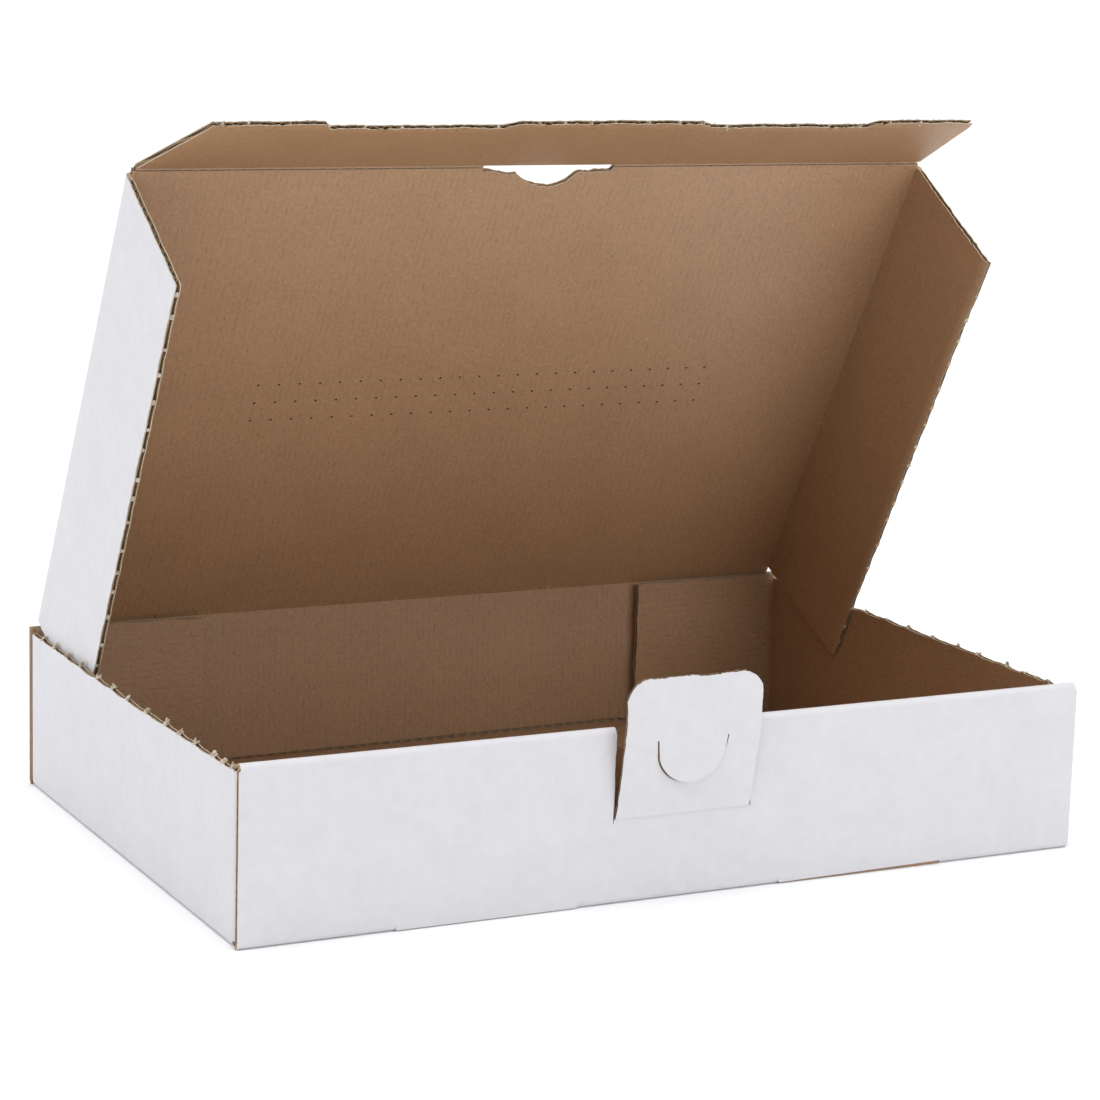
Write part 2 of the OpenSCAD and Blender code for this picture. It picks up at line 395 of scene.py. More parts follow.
front_rows = rows_to_edges(FRONT_TOP - 2 * BOARD, 2.0)
fold_share = (TAB_FOLD - BOARD) / (FRONT_TOP - 2 * BOARD)
beside_rows = sorted(front_rows + [fold_share, fold_share + 0.004])
front_shift = 7.0, 3.0
under_us = steps(-WINDOW_HALF, WINDOW_HALF, WALL_STEP)
under_span = level(BOARD, TAB_FOLD)
tray.panel(front_place, under_us, under_span, front_rows, shift=front_shift)
for side in (-1, 1):
    wall_ends = sorted((side * half_w, side * WINDOW_HALF))
    window_edge = "last" if side < 0 else "first"
    wall_us = sorted(slot_steps(*wall_ends, WALL_STEP) + [side * BAND_HALF])
    tray.panel(front_place, wall_us, front_span, beside_rows, window_edge,
               torn=above_fold, shift=front_shift)

tab_bead = 0.0, -half_d, TAB_FOLD
bead_run = steps(-WINDOW_HALF, WINDOW_HALF, FOLD_STEP)
tray.fold(tab_bead, yz, bead_run, 0.0, 90.0, (1, 0, 0), skins=(KRAFT, WHITE))

slot_ends = [TONGUE_X - TONGUE_W / 2, TONGUE_X + TONGUE_W / 2]
lower_fold = 0.0, -half_d + BOARD, BOARD
fold_runs = [(-half_w, -slot_ends[1]), (-slot_ends[0], slot_ends[0]), (slot_ends[1], half_w)]
for run_start, run_end in fold_runs:
    run = steps(run_start, run_end, FOLD_STEP)
    tray.fold(lower_fold, yz, run, 180.0, 270.0, (1, 0, 0))

roll_front = 0.0, -half_d + BOARD, FRONT_TOP - BOARD
roll_back = 0.0, inner_y - BOARD, FRONT_TOP - ROLL_DROP - BOARD
roll_fall = math.degrees(math.atan2(ROLL_DROP, FRONT_T - 2 * BOARD))


def band_place(u, v, w):
    spot = Vector(roll_front) + Vector(yz(-roll_fall)) * v
    spot += Vector(yz(90.0 - roll_fall)) * (BOARD - w)
    return u, spot.y, spot.z


def inner_place(u, v, w):
    return u, inner_y - w, v


def inner_span(u, w):
    top = FRONT_TOP - ROLL_DROP - BOARD
    if abs(u) < WINDOW_HALF:
        beyond = max(0.0, abs(u) - (WINDOW_HALF - TAB_ROUND))
        top = WINDOW_LOW + TAB_ROUND - chord(TAB_ROUND, beyond)
    return BOARD + LAYER_GAP, top


band_span = level(0.0, math.hypot(ROLL_DROP, FRONT_T - 2 * BOARD))
inner_rows = rows_to_edges(FRONT_TOP - 2 * BOARD)
for side in (-1, 1):
    roll_run = steps(*sorted((side * BAND_HALF, side * WINDOW_HALF)), ROLL_STEP)
    inner_run = steps(*sorted((side * ROLL_HALF, side * WINDOW_HALF)), ROLL_STEP)
    tray.fold(roll_front, yz, roll_run, 90.0 - roll_fall, 180.0, (1, 0, 0))
    tray.fold(roll_back, yz, roll_run, 0.0, 90.0 - roll_fall, (1, 0, 0))
    tray.panel(band_place, roll_run, band_span, THREE_ROWS)
    tray.panel(inner_place, inner_run, inner_span, inner_rows, "first last lo")
notch_run = steps(-WINDOW_HALF + HAIR, WINDOW_HALF - HAIR, 1.0)
tray.panel(inner_place, notch_run, inner_span, inner_rows, "lo hi")

TONGUE_HALF = 24.5
TONGUE_BACK = 0.5
TONGUE_LOW = 0.1
TONGUE_HIGH = 2.5
STEP_FRONT = 1.6
STEP_BACK = 1.0
TONGUE_STEP = 1.4


def tongue_place(u, v, w):
    return u, -half_d + TONGUE_BACK + BOARD - w, v


def tongue_step_place(u, v, w):
    return u, v, 2 * BOARD + LAYER_GAP - w


tongue_span = level(TONGUE_LOW, TONGUE_HIGH)
tongue_step_span = level(-half_d + STEP_FRONT, inner_y - STEP_BACK)
for side in (-1, 1):
    middle = side * TONGUE_X
    tongue_us = steps(middle - TONGUE_HALF, middle + TONGUE_HALF, TONGUE_STEP)
    tray.panel(tongue_place, tongue_us, tongue_span, THREE_ROWS, "lo", fuzz=0.04, wander=0.05)
    tray.panel(tongue_step_place, tongue_us, tongue_step_span, THREE_ROWS)


# BACK WALL
# One panel that folds up from the base, with a crease at its foot. Its top edge is the fold that
# the lid turns on: the round of that fold is split between the tray and the lid.
LID_OPEN = 61.0
LID_SWING = 44.0
CREASE_GAP = 0.35
SLIDE_GAP = 0.25
FOLD_TRIM = 0.04
LONG_STEP = 2.4
hinge_y = half_d - BOARD
hinge_z = BOX_H - BOARD


def back_place(u, v, w):
    return u, half_d - w, v


def back_span(u, w):
    crease = bow(u) + CREASE_GAP if w > BOARD / 2 else 0.0
    return BOARD + crease, hinge_z


back_us = steps(-half_w, half_w, FLUTE_PITCH)
tray.panel(back_place, back_us, back_span, rows_to_edges(hinge_z - BOARD))
flap_x = half_w - 2 * BOARD - SLIDE_GAP
lower_run = steps(-half_w, half_w, LONG_STEP)
hinge_run = steps(-flap_x, flap_x, LONG_STEP)
tray.fold((0.0, hinge_y, BOARD), yz, lower_run, 270.0, 360.0, (1, 0, 0))
hinge_centre = 0.0, hinge_y, hinge_z
tray_round = 180.0 - LID_OPEN - LID_SWING
tray.fold(hinge_centre, yz, hinge_run, 0.0, tray_round, (1, 0, 0), trim=FOLD_TRIM)


# SIDE WALLS
# One layer each, with a raw top edge cut along the flutes. At both ends a corner flap folds in:
# the front ones hide inside the double front wall, the rear ones stand before the back wall.
SIDE_DROP = 3.0
SIDE_H = BOX_H - SIDE_DROP
WALL_RIM = 3.0
LEFT_BULGE = 0.9
RIGHT_BULGE = 0.3
BULGE_FOOT = 8.0
REAR_FLAP = 50.0
FRONT_FLAP = 38.0
REAR_LEAN = 1.6
NICK_STEP = 11.5
CLOSE_NICKS = 5.5
CLOSE_RUN = 24.0
SCALLOP = 0.3
WALL_TUFT_LEAN = 0.9
WALL_TUFT_ROOT = 0.2, 0.45
LEFT_SINK = 0.25
RIGHT_SINK = 0.95
wall_front = -half_d + BOARD + LAYER_GAP
wall_rear = half_d - BOARD - LAYER_GAP
rim_foot = SIDE_H - WALL_RIM
wall_us = steps(BOARD, rim_foot, WALL_RIM)[:-1] + steps(rim_foot, SIDE_H, 1.0)
front_flap_us = steps(BOARD + LAYER_GAP, SIDE_H - 1.0, LONG_STEP)
rear_flap_us = steps(BOARD + LAYER_GAP, BOX_H - BOARD - LAYER_GAP, WALL_STEP)


def xz(angle):
    """Unit vector in the front view: 0 degrees points right, 90 up."""
    return math.cos(math.radians(angle)), 0.0, math.sin(math.radians(angle))


def xy(angle):
    """Unit vector in the plan: 0 degrees points right, 90 to the back."""
    return math.cos(math.radians(angle)), math.sin(math.radians(angle)), 0.0


def scalloped(places, depth):
    """How far an edge draws back at t: not at all at a nick, most of all halfway to the next."""
    def draw(t):
        for here, there in zip(places, places[1:]):
            if here < t < there:
                return -depth * math.sin(math.pi * (t - here) / (there - here))
        return 0.0

    return draw


def mirrored(flat):
    """The same unit vectors for the other side of the box."""
    return lambda angle: flat(180.0 - angle)


side_span = level(wall_front + BOARD, wall_rear - BOARD)
front_flap_span = level(BOARD, FRONT_FLAP)
rear_flap_span = level(BOARD, REAR_FLAP)
wall_rows = rows_to_edges(wall_rear - wall_front - 2 * BOARD, ROLL_STEP)
side_run = steps(wall_front + BOARD, wall_rear - BOARD, LONG_STEP)
corner_zs = steps(BOARD + LAYER_GAP, SIDE_H, BOARD)
close_end = wall_front + CLOSE_RUN
left_side = -1, LEFT_BULGE, LEFT_SINK, xz, xy
right_side = 1, RIGHT_BULGE, RIGHT_SINK, mirrored(xz), mirrored(xy)
for side, bulge, sink, across, plan in (left_side, right_side):
    def wall_place(u, v, w, side=side, bulge=bulge):
        lift = max(0.0, (u - BULGE_FOOT) / (SIDE_H - BULGE_FOOT)) ** 2
        share = math.pi * (v - wall_front) / (wall_rear - wall_front)
        return side * (half_w - w + bulge * lift * math.sin(share) ** 2), v, u

    def wall_top(t, out, w):
        return wall_place(SIDE_H + out, t, w)

    def front_flap_place(u, v, w, side=side):
        return side * (half_w - v), wall_front + w, u

    def rear_flap_place(u, v, w, side=side):
        lean = REAR_LEAN * (v / REAR_FLAP) ** 2
        return side * (half_w - v), wall_rear - w - lean, u

    wall_nicks = tray.nick_places(wall_front, close_end, CLOSE_NICKS)
    wall_nicks += tray.nick_places(close_end, wall_rear, NICK_STEP)
    tray.panel(wall_place, wall_us, side_span, wall_rows, "last",
               scallop=scalloped(wall_nicks, SCALLOP))
    tray.tear_edge(wall_top, wall_nicks, WALL_TUFT_LEAN, WALL_TUFT_ROOT, sink)
    tray.panel(front_flap_place, front_flap_us, front_flap_span,
               rows_to_edges(FRONT_FLAP, 3.0), "first last hi")
    tray.panel(rear_flap_place, rear_flap_us, rear_flap_span,
               rows_to_edges(REAR_FLAP, 3.0), "first last hi")
    corner_x = side * (half_w - BOARD)
    tray.fold((corner_x, 0.0, BOARD), across, side_run, 180.0, 270.0, (0, 1, 0))
    front_corner = corner_x, wall_front + BOARD, 0.0
    tray.fold(front_corner, plan, corner_zs, 180.0, 270.0, (0, 0, 1))
    rear_corner = corner_x, wall_rear - BOARD, 0.0
    tray.fold(rear_corner, plan, corner_zs, 90.0, 180.0, (0, 0, 1))


# PAPER
# The white liner is a matt clay-coated paper, the kraft liner a smooth brown one with fibres and
# flecks. The flutes show through both as a faint washboard; on the kraft, darker dashes along them
# are partly glue lines and partly painted shade of the washboard. Raw edges are bare brown paper.
class Wire:
    """A node socket that can be used in sums; add() makes any other node."""

    def __init__(self, tree, socket):
        self.tree, self.socket = tree, socket

    def add(self, kind, settings, values, output=0):
        node = self.tree.nodes.new(kind)
        for name, value in settings.items():
            setattr(node, name, value)
        for name, value in values.items():
            if isinstance(value, Wire):
                self.tree.links.new(value.socket, node.inputs[name])
            else:
                node.inputs[name].default_value = value
        return Wire(self.tree, node.outputs[output])

    def maths(self, operation, first, second=0.0):
        return self.add("ShaderNodeMath", {"operation": operation}, {0: first, 1: second})

    def __add__(self, other):
        return self.maths("ADD", self, other)

    def __mul__(self, other):
        return self.maths("MULTIPLY", self, other)

    def __truediv__(self, other):
        return self.maths("DIVIDE", self, other)

    def __pow__(self, other):
        return self.maths("POWER", self, other)

    def __rtruediv__(self, other):
        return self.maths("DIVIDE", other, self)

    def __rpow__(self, other):
        return self.maths("POWER", other, self)

    __radd__ = __add__
    __rmul__ = __mul__

    def sine(self):
        return self.maths("SINE", self)

    def mix(self, first, second):
        """A colour between two, by this value."""
        ends = {0: self, 6: first, 7: second}
        return self.add("ShaderNodeMix", {"data_type": "RGBA"}, ends, output=2)

    def between(self, low, high):
        """This value stretched so that low becomes 0 and high becomes 1, held inside them."""
        limits = {"Value": self, "From Min": low, "From Max": high}
        return self.add("ShaderNodeMapRange", {}, limits)

    def attribute(self, name, kind):
        """A named attribute of the mesh that a node tree works on."""
        return self.add("GeometryNodeInputNamedAttribute", {"data_type": kind}, {"Name": name})

    def chance(self, least, most, seed):
        """A random vector for each point, between two limits."""
        limits = {0: least, 1: most, "Seed": seed}
        return self.add("FunctionNodeRandomValue", {"data_type": "FLOAT_VECTOR"}, limits)

    def noise(self, scale, detail=3.0, stretch=(1.0, 1.0, 1.0)):
        ends = {0: self, 1: stretch}
        spread = self.add("ShaderNodeVectorMath", {"operation": "MULTIPLY"}, ends)
        look = {"Vector": spread, "Scale": scale, "Detail": detail}
        return self.add("ShaderNodeTexNoise", {}, look)


UV_PITCH = FLUTE_PITCH / UV_SIZE
RELIEF = 0.0003
WHITE_TONES = (0.640, 0.636, 0.668, 1), (0.690, 0.686, 0.714, 1)
KRAFT_TONES = (0.318, 0.178, 0.087, 1), (0.428, 0.250, 0.128, 1)
# Brown of the dashes along the flute lines: partly glue lines, partly painted shade of the
# washboard.
RIB_GLUE_AND_SHADE = 0.18, 0.10, 0.05, 1
DARK_FLECK = 0.13, 0.075, 0.04, 1
PALE_FLECK = 0.58, 0.46, 0.34, 1
RAW_TONES = (0.30, 0.20, 0.115, 1), (0.47, 0.34, 0.21, 1)
CREAM_TONES = (0.40, 0.32, 0.22, 1), (0.60, 0.53, 0.43, 1)


def paper(name, rough, gloss=0.25, coordinates="UV"):
    """An empty paper finish: its material, and the coordinates that its pattern follows."""
    finish = bpy.data.materials.new(name)
    finish.use_nodes = True
    shader = finish.node_tree.nodes["Principled BSDF"]
    shader.inputs["Roughness"].default_value = rough
    shader.inputs["Specular IOR Level"].default_value = gloss
    start = Wire(finish.node_tree, None)
    return finish, start.add("ShaderNodeTexCoord", {}, {}, output=coordinates)


def washboard(place):
    """The waves of the flutes across the sheet, from -1 to 1."""
    across = place.add("ShaderNodeSeparateXYZ", {}, {0: place})
    return (across * (2 * math.pi / UV_PITCH)).sine()


def colour_paper(finish, colour, height, strength):
    tree = finish.node_tree
    shader = tree.nodes["Principled BSDF"]
    tree.links.new(colour.socket, shader.inputs["Base Color"])
    relief = {"Height": height, "Strength": strength, "Distance": RELIEF}
    bump = colour.add("ShaderNodeBump", {}, relief)
    tree.links.new(bump.socket, shader.inputs["Normal"])


white_liner, place = paper("white_liner", 0.62)
waves = washboard(place)
mottle = place.noise(7.0, 4.0)
cloud = place.noise(30.0, 5.0)
grain = place.noise(220.0, 4.0)
tone = (mottle * 0.4 + cloud * 0.4 + grain * 0.2).between(0.36, 0.64)
colour = tone.mix(*WHITE_TONES)
colour_paper(white_liner, colour, grain * 0.5 + cloud * 0.5 + waves * 0.10, 0.22)

kraft_liner, place = paper("kraft_liner", 0.52, 1.0)
waves = washboard(place)
# Darker dashes at the flute lines, mixed into the kraft colour: partly glue lines, partly painted
# shade.
glue_and_shade_ribs = (waves * waves) ** 7
dashes = place.noise(120.0, 3.0, (1.0, 0.22, 1.0)).between(0.46, 0.64)
grain = place.noise(190.0, 4.0, (1.0, 0.6, 1.0))
clots = place.noise(75.0, 4.0, (1.0, 0.7, 1.0))
patches = place.noise(5.0, 3.0)
dark_flecks = place.noise(115.0, 1.0, (1.0, 0.7, 1.0)).between(0.735, 0.765)
pale_flecks = place.noise(105.0, 1.0, (0.7, 1.0, 1.0)).between(0.74, 0.78)
tone = (grain * 0.6 + clots * 0.25 + patches * 0.15).between(0.38, 0.62)
colour = tone.mix(*KRAFT_TONES)
colour = (glue_and_shade_ribs * dashes * 0.46).mix(colour, RIB_GLUE_AND_SHADE)
colour = (dark_flecks * 0.8).mix(colour, DARK_FLECK)
colour = (pale_flecks * 0.5).mix(colour, PALE_FLECK)
colour_paper(kraft_liner, colour, grain * 0.7 + clots * 0.3 + waves * 0.08, 0.2)

raw_paper, place = paper("raw_paper", 0.85)
fuzz = place.noise(90.0, 4.0).between(0.3, 0.7)
colour = fuzz.mix(*RAW_TONES)
colour_paper(raw_paper, colour, fuzz, 0.4)

cream_edge, place = paper("cream_edge", 0.85)
fuzz = place.noise(110.0, 4.0).between(0.3, 0.7)
colour = fuzz.mix(*CREAM_TONES)
colour_paper(cream_edge, colour, fuzz, 0.4)
finishes = [white_liner, kraft_liner, raw_paper, cream_edge]


def lined(sheet, body):
    """The liners and folds of a body as one piece that stands for its part."""
    board_piece = sheet.piece(finishes)
    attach(board_piece, body)
    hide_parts(body)


lined(tray, "tray")


# FLUTES
# The paper between the liners runs in waves from one liner to the other. Only its cut ends show.
# Each panel has a flat blank, and one node tree bends all blanks into waves.
def sockets(tree, kinds):
    """Named inputs of a node tree after its geometry, as wires and as identifiers."""
    tree.interface.new_socket("Geometry", in_out="INPUT", socket_type="NodeSocketGeometry")
    tree.interface.new_socket("Geometry", in_out="OUTPUT", socket_type="NodeSocketGeometry")
    identifiers = {}
    for name, kind in kinds.items():
        socket_type = "NodeSocket" + kind
        made = tree.interface.new_socket(name, in_out="INPUT", socket_type=socket_type)
        identifiers[name] = made.identifier
    source = tree.nodes.new("NodeGroupInput")
    wires = {name: Wire(tree, source.outputs[name]) for name in ["Geometry", *kinds]}
    return wires, identifiers


def end_tree(tree, shape, finish):
    """The end of a node tree: real geometry with its material."""
    real = shape.add("GeometryNodeRealizeInstances", {}, {"Geometry": shape})
    done = shape.add("GeometryNodeSetMaterial", {}, {"Geometry": real, "Material": finish})
    tree.links.new(done.socket, tree.nodes.new("NodeGroupOutput").inputs[0])


flute_tree = bpy.data.node_groups.new("flute_waves", "GeometryNodeTree")
wires, flute_ids = sockets(flute_tree, {"Pitch": "Float", "Height": "Float", "Paper": "Material"})
start = wires["Geometry"]
across = start.attribute("across", "FLOAT")
through = start.attribute("through", "FLOAT_VECTOR")
sway = (across / wires["Pitch"] * (2 * math.pi)).sine() * wires["Height"] * 0.5
offset = start.add("ShaderNodeVectorMath", {"operation": "SCALE"}, {0: through, "Scale": sway})
waved = start.add("GeometryNodeSetPosition", {}, {"Geometry": start, "Offset": offset})
end_tree(flute_tree, waved, wires["Paper"])


def grown(name, points, faces, attributes, tree, values):
    """An object made by a node tree from a plain mesh with named attributes, as a plain mesh."""
    mesh = bpy.data.meshes.new(name)
    mesh.from_pydata([tuple(c / PER_METRE for c in p) for p in points], [], faces)
    for label, numbers in attributes.items():
        if isinstance(numbers[0], float):
            mesh.attributes.new(label, "FLOAT", "POINT").data.foreach_set("value", numbers)
        else:
            layer = mesh.attributes.new(label, "FLOAT_VECTOR", "POINT")
            layer.data.foreach_set("vector", [c for number in numbers for c in number])
    thing = bpy.data.objects.new(name, mesh)
    scene.collection.objects.link(thing)
    nodes = thing.modifiers.new(name, "NODES")
    nodes.node_group = tree
    for identifier, value in values.items():
        nodes[identifier] = value
    ready = thing.evaluated_get(bpy.context.evaluated_depsgraph_get())
    solid = bmesh.new()
    plain = bpy.data.meshes.new_from_object(ready)
    plain.name = name
    solid.from_mesh(plain)
    bmesh.ops.recalc_face_normals(solid, faces=solid.faces)
    solid.to_mesh(plain)
    solid.free()
    thing.modifiers.remove(nodes)
    thing.data = plain
    return thing


FLUTE_CLEAR = 0.18
flute_values = {
    flute_ids["Pitch"]: FLUTE_PITCH / PER_METRE,
    flute_ids["Height"]: (BOARD - 2 * LINER - FLUTE_CLEAR) / PER_METRE,
    flute_ids["Paper"]: raw_paper,
}


def fluted(sheet, body):
    """The fluted paper inside a body's board."""
    across = [u / PER_METRE for u in sheet.flute_across]
    marks = {"across": across, "through": sheet.flute_through}
    flute_piece = grown(body + "_flutes", sheet.flute_points, sheet.flute_faces, marks,
                        flute_tree, flute_values)
    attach(flute_piece, body)


fluted(tray, "tray")


# TORN FIBRES
# The cutting rule nicks the edges that run along the flutes and tears up small tufts of pale
# fibre there. Each tuft is a few short spikes that point out of the edge.
TUFT_SPIKES = 5
WALL_TUFT = 1.9
TUCK_TUFT = 1.3
FLAP_TUFT = 0.45
CLOT_SIZE = 0.5
CLOT_SEED = 40.0
CLOT_LIMITS = (0.9, 1.0, 0.5), (1.8, 1.5, 0.9)
SPIKE_TOP = 0.00027
SPIKE_FOOT = 0.00042
SPIKE_LIMITS = (0.35, 0.7, 0.4), (0.8, 1.8, 1.0)
LEAN_LIMITS = (-0.45, -0.45, -3.1), (0.45, 0.45, 3.1)
TORN_TONES = (0.44, 0.35, 0.25, 1), (0.66, 0.60, 0.52, 1)

torn_paper, place = paper("torn_paper", 0.9, coordinates="Object")
pale = place.noise(900.0).between(0.35, 0.65)
colour = pale.mix(*TORN_TONES)
colour_paper(torn_paper, colour, pale, 0.3)

tuft_tree = bpy.data.node_groups.new("torn_tufts", "GeometryNodeTree")
tuft_sizes = {"Spikes": "Int", "Length": "Float", "Clot": "Float"}
wires, tuft_ids = sockets(tuft_tree, {**tuft_sizes, "Seed": "Int", "Paper": "Material"})
start = wires["Geometry"]
away = start.attribute("away", "FLOAT_VECTOR")
through = start.attribute("through", "FLOAT_VECTOR")
copies = {"Geometry": start, "Amount": wires["Spikes"]}
crowd = start.add("GeometryNodeDuplicateElements", {"domain": "POINT"}, copies)
spike_ends = {"Vertices": 5, "Radius Top": SPIKE_TOP, "Radius Bottom": SPIKE_FOOT}
spike = start.add("GeometryNodeMeshCone", {}, {**spike_ends, "Depth": wires["Length"]})
upright = start.add("FunctionNodeAlignRotationToVector", {"axis": "Z"}, {"Vector": away})
lean = start.chance(*LEAN_LIMITS, wires["Seed"])
tilts = {"Rotation": upright, "Rotate By": lean}
turned = start.add("FunctionNodeRotateRotation", {"rotation_space": "LOCAL"}, tilts)
sizes = start.chance(*SPIKE_LIMITS, wires["Seed"])
tuft_links = {"Points": crowd, "Instance": spike, "Rotation": turned, "Scale": sizes}
tufts = start.add("GeometryNodeInstanceOnPoints", {}, tuft_links)
clot = start.add("GeometryNodeMeshIcoSphere", {}, {"Radius": wires["Clot"], "Subdivisions": 2})
square_to = {"axis": "Y", "pivot_axis": "Z"}
square = {"Rotation": upright, "Vector": through}
squared = start.add("FunctionNodeAlignRotationToVector", square_to, square)
clot_sizes = start.chance(*CLOT_LIMITS, wires["Seed"] + CLOT_SEED)
clot_links = {"Points": start, "Instance": clot, "Rotation": squared, "Scale": clot_sizes}
clots = start.add("GeometryNodeInstanceOnPoints", {}, clot_links)
both = start.add("GeometryNodeJoinGeometry", {}, {"Geometry": tufts})
tuft_tree.links.new(clots.socket, both.socket.node.inputs[0])
end_tree(tuft_tree, both, wires["Paper"])


def torn_edges(sheet, body, length, seed):
    """The torn fibres on a body's cut edges, with the length of the longest of them."""
    values = {
        tuft_ids["Spikes"]: TUFT_SPIKES,
        tuft_ids["Length"]: length / PER_METRE,
        tuft_ids["Clot"]: CLOT_SIZE / PER_METRE,
        tuft_ids["Seed"]: seed,
        tuft_ids["Paper"]: torn_paper,
    }
    spots, away, through = zip(*sheet.nicks)
    marks = {"away": away, "through": through}
    tuft_piece = grown(body + "_torn_fibres", spots, [], marks, tuft_tree, values)
    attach(tuft_piece, body)


torn_edges(tray, "tray", WALL_TUFT, 5)


# LID
# The top panel, joined to the back wall by its fold. A slot with a rounded thumb notch is cut at
# its front fold, where the lock tab goes in. It is drawn as if closed, then turned up.
SLOT_W = 39.0
SLOT_GAP = 2.2
SLOT_END = 0.45
SLOT_RISE = 0.55
SLOT_EASE = 7.0
NOTCH_W = 22.0
NOTCH_D = 6.7
TUCK_BEND = 41.0
TUCK_SWING = 53.7
FLAP_FRONT = 1.6
FLAP_REAR = BOARD + LAYER_GAP + 2 * SLIDE_GAP
START_GAP = 0.03
START_R = BOARD - START_GAP
BEAD_INSET = 0.7
HINGE_LAP = 3.0
lid_len = hinge_y - inner_y - SLIDE_GAP - LAYER_GAP - BOARD
slot_half = SLOT_W / 2
lid_lift = Matrix.Rotation(math.radians(-LID_OPEN), 4, "X")
lid_turn = Matrix.Translation((0, hinge_y, hinge_z)) @ lid_lift
lid = Sheet("lid_board", 23)


def fold_start(w):
    """How far from the fold's inner corner a panel starts at depth w, to clear the round fold."""
    return chord(START_R, BOARD - w)


def lid_place(u, v, w):
    return tuple(lid_turn @ Vector((u, -v, BOARD - w)))


def lid_span(u, w):
    end = lid_len
    if abs(u) < slot_half:
        notch = NOTCH_D - NOTCH_W / 2 + chord(NOTCH_W / 2, u)
        slot = SLOT_GAP * (SLOT_END + SLOT_RISE * min(1.0, (slot_half - abs(u)) / SLOT_EASE))
        end -= max(slot, notch)
    elif w > BOARD / 2:
        end -= CREASE_GAP
    return fold_start(w), end


def tipped(turn, flat):
    """Unit vectors that turn with a body."""
    return lambda angle: turn.to_3x3() @ Vector(flat(angle))


lid_yz = tipped(lid_turn, yz)
lid_xz = tipped(lid_turn, xz)
lid_rows = rows_to_edges(lid_len, 6.0)
outer_us = steps(slot_half + HAIR, flap_x, 1.8)
left_us = [-u for u in reversed(outer_us)]
lid.panel(lid_place, left_us, lid_span, lid_rows, shift=front_shift)
slot_us = steps(-slot_half - HAIR, slot_half + HAIR, 0.7)
lid.panel(lid_place, slot_us, lid_span, lid_rows, "hi", fuzz=0.12, wander=0.5, shift=front_shift)
lid.panel(lid_place, outer_us, lid_span, lid_rows, shift=front_shift)

lid_along = lid_turn.to_3x3() @ Vector((0, -1, 0))
lid_front = lid_turn @ Vector((0, -lid_len, 0))
bead_end = flap_x - BEAD_INSET
tuck_runs = steps(-bead_end, -slot_half, FOLD_STEP), steps(slot_half, bead_end, FOLD_STEP)
lid_round = 180.0 + TUCK_BEND - TUCK_SWING
for run in tuck_runs:
    lid.fold(lid_front, lid_yz, run, 90.0, lid_round, (1, 0, 0), trim=FOLD_TRIM)
hinge_end = 180.0 - LID_OPEN
hinge_start = hinge_end - LID_OPEN - LID_SWING - HINGE_LAP
lid.fold(hinge_centre, yz, hinge_run, hinge_start, hinge_end, (1, 0, 0))
flap_run = steps(FLAP_REAR, lid_len - FLAP_FRONT, FOLD_STEP)
right_fold = lid_turn @ Vector((flap_x, 0, 0))
left_fold = lid_turn @ Vector((-flap_x, 0, 0))
lid.fold(right_fold, lid_xz, flap_run, -90.0, 90.0, lid_along, arc=14)
lid.fold(left_fold, lid_xz, flap_run, 90.0, 270.0, lid_along, arc=14)
lined(lid, "lid")
fluted(lid, "lid")


# PIN-PRICKS
# Pins of the die left small pricks in the kraft face in the middle of the lid. Here they are
# three plain even rows. Each prick is a low mound, and a dark disc in its top is painted shade
# where the hole would be.
PRICK_STEP = 6.0
PRICK_COLUMNS = 24
PRICK_ROWS = 3
PRICK_MIDDLE = 76.0
MOUND_SIZE = 0.62, 0.40, 0.15
# The dark disc stands a little above the mound's top: painted shade in place of a hole.
HOLE_SHADE_SIZE = 0.42, 0.36, 0.17
HOLE_SHADE_TONES = (0.05, 0.03, 0.018, 1), (0.10, 0.06, 0.035, 1)

prick_tree = bpy.data.node_groups.new("pin_pricks", "GeometryNodeTree")
prick_inputs = {"Foot": "Float", "Top": "Float", "Height": "Float", "Paper": "Material"}
wires, prick_ids = sockets(prick_tree, prick_inputs)
start = wires["Geometry"]
away = start.attribute("away", "FLOAT_VECTOR")
upright = start.add("FunctionNodeAlignRotationToVector", {"axis": "Z"}, {"Vector": away})
mound_ends = {"Radius Top": wires["Top"], "Radius Bottom": wires["Foot"]}
mound_sizes = {"Vertices": 12, "Depth": wires["Height"], **mound_ends}
mound = start.add("GeometryNodeMeshCone", {}, mound_sizes)
mound_links = {"Points": start, "Instance": mound, "Rotation": upright}
mounds = start.add("GeometryNodeInstanceOnPoints", {}, mound_links)
end_tree(prick_tree, mounds, wires["Paper"])

# Near-black paper for the discs on the pricks: painted shade, not the paper's own colour.
hole_shade_paper, place = paper("hole_shade_paper", 0.95, coordinates="Object")
specks = place.noise(900.0)
colour_paper(hole_shade_paper, specks.mix(*HOLE_SHADE_TONES), specks, 0.2)

prick_spots = []
for column in range(PRICK_COLUMNS):
    for row in range(PRICK_ROWS):
        u = (column - (PRICK_COLUMNS - 1) / 2) * PRICK_STEP
        v = PRICK_MIDDLE + (row - (PRICK_ROWS - 1) / 2) * PRICK_STEP
        prick_spots.append(lid_place(u, v, BOARD - HAIR))
inwards = lid_turn.to_3x3() @ Vector((0, 0, -1))
prick_marks = {"away": [inwards] * len(prick_spots)}
for label, size, finish in (
    ("lid_prick_mounds", MOUND_SIZE, raw_paper),
    ("lid_prick_hole_shades", HOLE_SHADE_SIZE, hole_shade_paper),
):
    foot, top, height = size
    prick_values = {
        prick_ids["Foot"]: foot / PER_METRE,
        prick_ids["Top"]: top / PER_METRE,
        prick_ids["Height"]: height / PER_METRE,
        prick_ids["Paper"]: finish,
    }
    prick_piece = grown(label, prick_spots, [], prick_marks, prick_tree, prick_values)
    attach(prick_piece, "lid")


